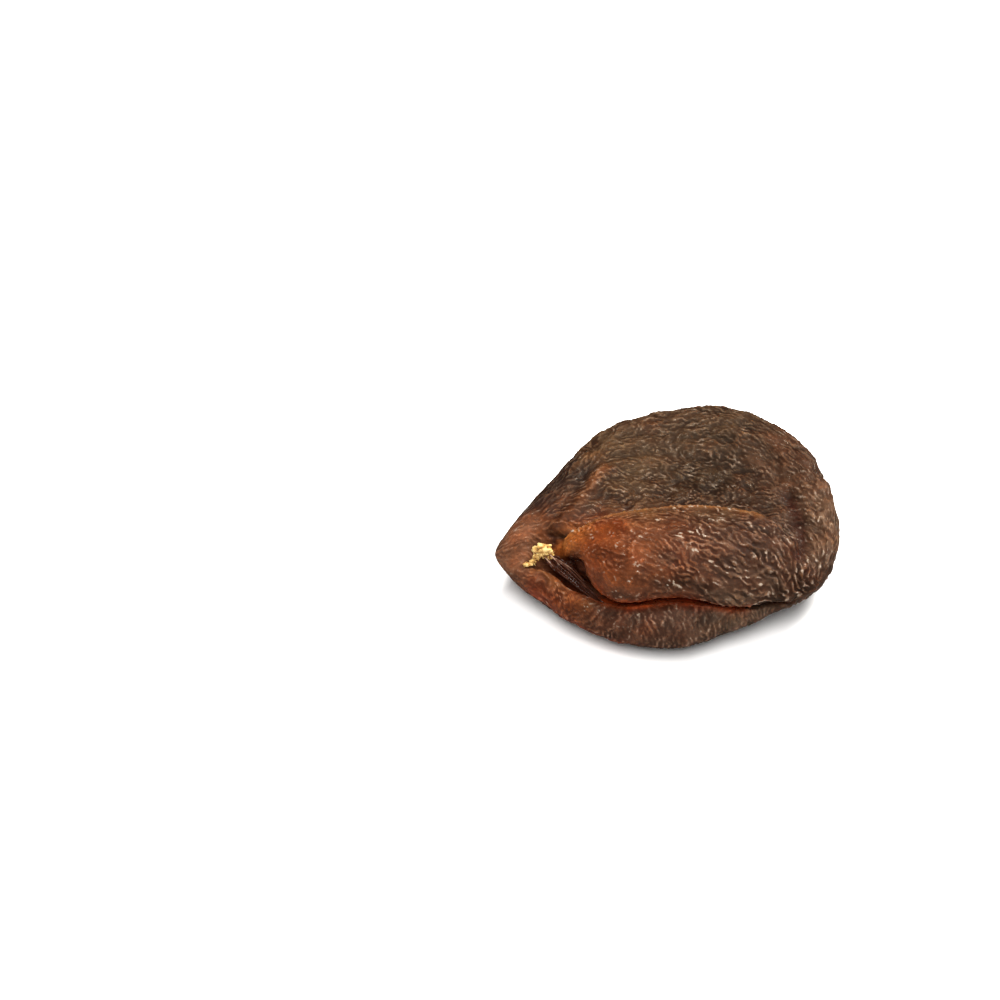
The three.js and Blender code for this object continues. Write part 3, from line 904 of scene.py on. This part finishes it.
fleshCrests = {
    # each noise is its scale and detail, and may have its roughness
    "shakeNoise": (1600, 3),  # shakes the fine crests
    "shake": 8.0,  # how far it shifts their phase, in radians
    "power": 2.5,  # how narrow they are
    "brokenNoise": (800, 3),  # breaks them along their length
    "broken": (0.15, 1.0, 0.4, 0.58),  # the least and the most left of them, and the noise at both
    "ridgeShare": 0.55,  # how much the ridges in the mesh count in the crest height
    "sharpShare": 0.45,  # and the fine crests
    "striped": (0.1, 0.8),  # the crest heights of the valleys' and the crests' whole colour
    "strokeNoise": (760, 4, 0.65),
    "stroke": (0.48, 0.66),
    "pale": (0.44, 0.74),  # the crest heights where the pale strokes start and are whole
    "paleShare": 0.8,
    "roughness": (0.55, 0.13, 0.15, 0.75),  # the valleys', the crests', and the crest heights of both
    "patchNoise": (520, 3),
    "patch": (-0.04, 0.16, 0.4, 0.68),  # the least and the most added roughness, and the noise at both
    "sharpHeight": 0.03 * mm,
    "grainNoise": (2200, 2),
    "grainHeight": 0.02 * mm,
}


def fleshMaterial(crests):
    # Tinted skin. The crest height is half the cosine of the wrinkles' phase plus a half, raised to a
    # power, with the phase shaken by noise; crests are glossier, and greyer and lighter as painted
    # highlight;
    # valleys are darker as painted shade, and redder.
    s = Shader("dried_flesh")
    tint = s.values("tint")["Vector"]
    ridge = s.values("ridge")["Fac"]
    contrast = s.values("contrast")["Fac"]
    swing = s.add("SeparateXYZ", {0: s.values("swing")["Vector"]}).outputs
    shake = s.math("SUBTRACT", s.noise(*crests["shakeNoise"]), 0.5)
    shake = s.math("MULTIPLY", shake, crests["shake"])
    cosine = s.math(
        "SUBTRACT",
        s.math("MULTIPLY", swing[0], s.math("COSINE", shake)),
        s.math("MULTIPLY", swing[1], s.math("SINE", shake)),
    )
    squares = [s.math("MULTIPLY", swing[k], swing[k]) for k in (0, 1)]
    size = s.math("SQRT", s.math("ADD", *squares))
    cosine = s.math("DIVIDE", cosine, s.math("MAXIMUM", size, 0.05))
    half = s.math("ADD", s.math("MULTIPLY", cosine, 0.5), 0.5)
    sharp = s.math("POWER", half, crests["power"])
    broken = s.ramp(s.noise(*crests["brokenNoise"]), *crests["broken"])
    sharp = s.math("MULTIPLY", s.math("MULTIPLY", sharp, swing[2]), broken)
    crest = s.math(
        "ADD",
        s.math("MULTIPLY", ridge, crests["ridgeShare"]),
        s.math("MULTIPLY", sharp, crests["sharpShare"]),
    )

    # painted shade in the wrinkles' valleys and painted highlight on their crests, as much as the contrast
    # attribute allows
    valley = s.mix(1.0, tint, fleshColours["valley"], "MULTIPLY")
    top = s.mix(1.0, tint, fleshColours["crest"], "MULTIPLY")
    top = s.mix(0.5, top, fleshColours["crestPlain"])
    striped = s.mix(s.ramp(crest, 0, 1, *crests["striped"]), valley, top)
    colour = s.mix(contrast, tint, striped)
    for noise, ends, layerShares, factor in fleshLayers:
        layer = s.mix(1.0, colour, factor, "MULTIPLY")
        colour = s.mix(s.ramp(s.noise(*noise), *layerShares, *ends), colour, layer)
    # painted glints: pale strokes along the crests, partly sugar bloom
    stroke = s.ramp(s.noise(*crests["strokeNoise"]), 0, 1, *crests["stroke"])
    pale = s.math("MULTIPLY", s.ramp(crest, 0, 1, *crests["pale"]), stroke)
    pale = s.math("MULTIPLY", pale, s.values("bloomGlint")["Fac"])
    colour = s.mix(s.math("MULTIPLY", pale, crests["paleShare"]), colour, fleshColours["glint"])
    patch = s.ramp(s.noise(*crests["patchNoise"]), *crests["patch"])
    rough = s.math("ADD", s.ramp(crest, *crests["roughness"]), patch)
    bump = s.bump(sharp, 0.9, crests["sharpHeight"])
    bump = s.bump(s.noise(*crests["grainNoise"]), 0.8, crests["grainHeight"], bump)
    return s.finish({
        "Base Color": colour,
        "Roughness": rough,
        "IOR": 1.46,
        "Specular IOR Level": 0.26,
        "Specular Tint": (1, 0.88, 0.68, 1),
        "Subsurface Weight": 0.06,
        "Subsurface Radius": (1.0, 0.35, 0.16),
        "Subsurface Scale": 0.9 * mm,
        "Normal": bump,
    })


def makeFlesh():
    # The skin as one closed grid, in the place of the fruit's plain solid.
    points, shares, folds, fine, values = makeSkin(skinShape)
    values["tint"] = [skinTint(points, shares, folds, fine)]
    makePiece("apricot_flesh", [points], values, fleshMaterial(fleshCrests), "fruit")


makeFlesh()

# the torn stem: a crumbly tuft and a smaller one beside it
tuft = {
    # lumps: place and radii in millimetres, and how much paler than the others (or more orange, below 0)
    "lumps": [
        ((-15.6, -6.85, 8.25), (1.1, 0.75, 0.52), 0.35),
        ((-16.3, -6.75, 8.05), (0.55, 0.5, 0.45), 0.2),
        ((-15.05, -7.25, 7.7), (0.6, 0.5, 0.5), -0.9),
        ((-15.8, -7.2, 7.65), (0.55, 0.45, 0.45), -0.1),
        ((-16.4, -7.45, 7.45), (0.4, 0.36, 0.4), 0),
        ((-16.85, -7.9, 7.1), (0.34, 0.24, 0.24), -0.5),
    ],
    "small": [
        ((-17.45, -8.1, 6.85), (0.5, 0.3, 0.28), 0.2),
        ((-17.9, -8.0, 6.85), (0.26, 0.22, 0.2), 0),
    ],
    "rows": 44,
    "columns": 64,
    "lumpiness": 0.2,
    "lumpSize": 1.3,  # the size of the largest bumps, in millimetres
    "lumpShare": 0.6,  # the height of each smaller set against the one before
    "fibres": 70,
    "fibreRadius": 0.07,
    "fibreLength": 0.6,
    "fibreBend": 0.5,
    "fibreSteps": 7,
    "fibreSides": 5,
    "fibreDepth": 0.5,  # the fibres' colour, as a height on the lumps
}

# the torn brown strands between the tuft and the slit
strands = {
    # their shared path in millimetres, and how far they spread to both sides of it
    "path": [
        (-15.3, -7.15, 7.55),
        (-14.2, -8.1, 7.3),
        (-12.8, -9.45, 6.95),
        (-11.3, -11.1, 6.5),
        (-9.8, -12.8, 6.0),
        (-8.6, -14.1, 5.5),
    ],
    "spread": [0.4, 0.75, 0.8, 0.65, 0.45, 0.3],
    "across": (-0.55, -0.55, -0.63),  # the direction that they spread in
    "count": 20,
    "radius": 0.09,
    "steps": 16,
    "sides": 6,
    "sway": 0.14,  # how far each one wanders from its line, in millimetres
    "swayTurns": [(0, 4), (1, 9)],  # the first and last angle of the two sines that it wanders by
    "endTone": 0.3,  # how much of its tone is left at its lower end
}


def lumpyBall(place, radii, lumpiness, seed):
    # A ball whose radius is scaled by 1 plus smooth noise of four sizes, each half the one before. Also
    # returns the noise.
    poleGap = 0.03
    polar = np.linspace(np.pi - poleGap, poleGap, tuft["rows"])[:, None]
    turn = np.linspace(0, 2 * np.pi, tuft["columns"], endpoint=False)
    polar, turn = np.broadcast_arrays(polar, turn)
    ball = np.stack([np.sin(polar) * np.cos(turn), np.sin(polar) * np.sin(turn), np.cos(polar)], axis=2)
    points = ball * np.array(radii)
    share, size = tuft["lumpShare"], tuft["lumpSize"]
    lumps = sum(share**k * drift(points, size * 0.5**k, seed + k) for k in range(4))
    return np.array(place) + points * (1 + lumpiness * lumps[..., None]), lumps


def tubes(lines, radii, sides):
    # Tubes round centre lines (tube, step, 3), with the radius given at each step. The rings stand
    # across the line's direction.
    direction = np.gradient(lines, axis=1)
    direction /= np.linalg.norm(direction, axis=2, keepdims=True)
    aside = np.cross(direction, np.array([0.3, 0.2, 1.0]))  # nearly upright, which no line is for long
    aside /= np.linalg.norm(aside, axis=2, keepdims=True)
    above = np.cross(direction, aside)
    turn = np.linspace(0, 2 * np.pi, sides, endpoint=False)[:, None]
    ring = np.cos(turn) * aside[:, :, None] + np.sin(turn) * above[:, :, None]
    return lines[:, :, None] + ring * radii[:, :, None, None]


def fibreLines(count, length, lumps, seed):
    # Short bent threads that start inside the lumps and leave them sideways and downwards: a straight
    # step along the way out, plus a bend that grows as the square of the length so far.
    dice = np.random.default_rng(seed)
    chosen = dice.integers(len(lumps), size=count)
    places = np.array([lump[0] for lump in lumps])[chosen]
    radii = np.array([lump[1] for lump in lumps])[chosen]
    outward = dice.normal(size=(count, 3)) * (1, 1, 0.7) + (0, -0.3, -0.15)  # forward and down on the whole
    outward /= np.linalg.norm(outward, axis=1, keepdims=True)
    start = places + outward * radii * 0.6
    bend = dice.normal(size=(count, 3)) * tuft["fibreBend"]
    t = np.linspace(0, 1, tuft["fibreSteps"])[None, :, None]
    reach = length * dice.uniform(0.3, 1, size=(count, 1, 1))
    return start[:, None] + reach * (outward[:, None] * t + bend[:, None] * t**2 * (1 - 0.4 * t))


def strawMaterial():
    # Dry stem fibre: light straw on the bumps as painted light, orange brown in the hollows as painted
    # shade, over the straw's own tones; each bump's height shaken by noise.
    s = Shader("dry_stem")
    depth = s.values("depth")["Fac"]
    shade = s.math("ADD", depth, s.math("MULTIPLY", s.math("SUBTRACT", s.noise(2200, 4), 0.5), 2.2))
    # painted light on the bumps and painted shade in the hollows, over the straw's own tones
    colour = s.mix(s.ramp(shade, 0, 1, -1.1, 0.1), (0.12, 0.045, 0.008, 1), (0.32, 0.175, 0.045, 1))
    colour = s.mix(s.ramp(shade, 0, 1, 0.1, 1.2), colour, (0.53, 0.37, 0.14, 1))
    grain = s.bump(s.noise(5200, 4, 0.6), 0.8, 0.05 * mm)
    return s.finish({
        "Base Color": colour,
        "Roughness": 0.55,
        "Specular IOR Level": 0.4,
        "Subsurface Weight": 0.15,
        "Subsurface Radius": (1.0, 0.6, 0.3),
        "Subsurface Scale": 0.3 * mm,
        "Normal": grain,
    })


def strandMaterial():
    # Sticky brown fibres with a wet gloss: a strand's tone, shaken by noise, takes it from near black
    # to pale; the palest ones are painted highlights.
    s = Shader("sticky_strands")
    shake = s.math("MULTIPLY", s.math("SUBTRACT", s.noise(900, 3), 0.5), 0.8)
    tone = s.math("ADD", s.values("tone")["Fac"], shake)
    colour = s.mix(s.ramp(tone, 0, 1, 0.1, 0.8), (0.022, 0.005, 0.002, 1), (0.09, 0.032, 0.018, 1))
    # painted highlights: the palest strands
    colour = s.mix(s.ramp(tone, 0, 1, 0.6, 0.9), colour, (0.36, 0.22, 0.15, 1))
    grain = s.bump(s.noise(3000, 3), 0.5, 0.05 * mm)
    return s.finish({
        "Base Color": colour,
        "Roughness": 0.2,
        "Specular IOR Level": 0.4,
        "Normal": grain,
    })


def makeTufts():
    # Each tuft is one piece: lumpy balls that run into each other, with tapered threads coming out.
    straw = strawMaterial()
    for name, key, fibres, shortening, replaced, seed in (
        ("stem_tuft_fibres", "lumps", tuft["fibres"], 1, "stem_tuft", 31),
        ("small_tuft_fibres", "small", tuft["fibres"] // 4, 0.5, None, 61),
    ):
        lumps = tuft[key]
        balls = [lumpyBall(*lump[:2], tuft["lumpiness"], seed + 7 * k) for k, lump in enumerate(lumps)]
        lines = fibreLines(fibres, tuft["fibreLength"] * shortening, lumps, seed)
        taper = tuft["fibreRadius"] * np.linspace(1.2, 0.3, lines.shape[1]) * np.ones(lines.shape[:2])
        threads = list(tubes(lines, taper, tuft["fibreSides"]))
        grids = [points for points, depth in balls] + threads
        depths = [depth + lump[2] for (points, depth), lump in zip(balls, lumps)]
        depths += [np.full(thread.shape[:2], tuft["fibreDepth"]) for thread in threads]
        makePiece(name, grids, {"depth": depths}, straw, replaced)


def makeStrands():
    # Tubes side by side along one path: each keeps its own share of the spread and wanders by two sines.
    count = strands["count"]
    dice = np.random.default_rng(17)
    path = np.array(strands["path"])
    steps = np.linspace(0, len(path) - 1, strands["steps"])
    centre = np.stack([np.interp(steps, np.arange(len(path)), path[:, k]) for k in range(3)], axis=1)
    spread = np.interp(steps, np.arange(len(path)), strands["spread"])
    offset = np.linspace(-1, 1, count)[:, None] + 0.1 * dice.normal(size=(count, 1))
    sway = dice.normal(size=(count, 2, 3)) * strands["sway"]
    wave = np.stack([np.sin(np.linspace(*turns, len(steps))) for turns in strands["swayTurns"]])
    lines = centre[None] + (offset * spread)[..., None] * np.array(strands["across"])
    lines = lines + np.einsum("cks,kn->cns", sway, wave)
    radius = strands["radius"] * dice.uniform(0.6, 1.2, size=(count, 1)) * np.linspace(1, 0.6, len(steps))
    grids = list(tubes(lines, radius, strands["sides"]))
    fade = np.linspace(1, strands["endTone"], len(steps))[:, None] * np.ones(strands["sides"])
    tones = [tone * fade for tone in dice.random(count)]
    makePiece("stem_strands", grids, {"tone": tones}, strandMaterial(), None)


makeTufts()
makeStrands()
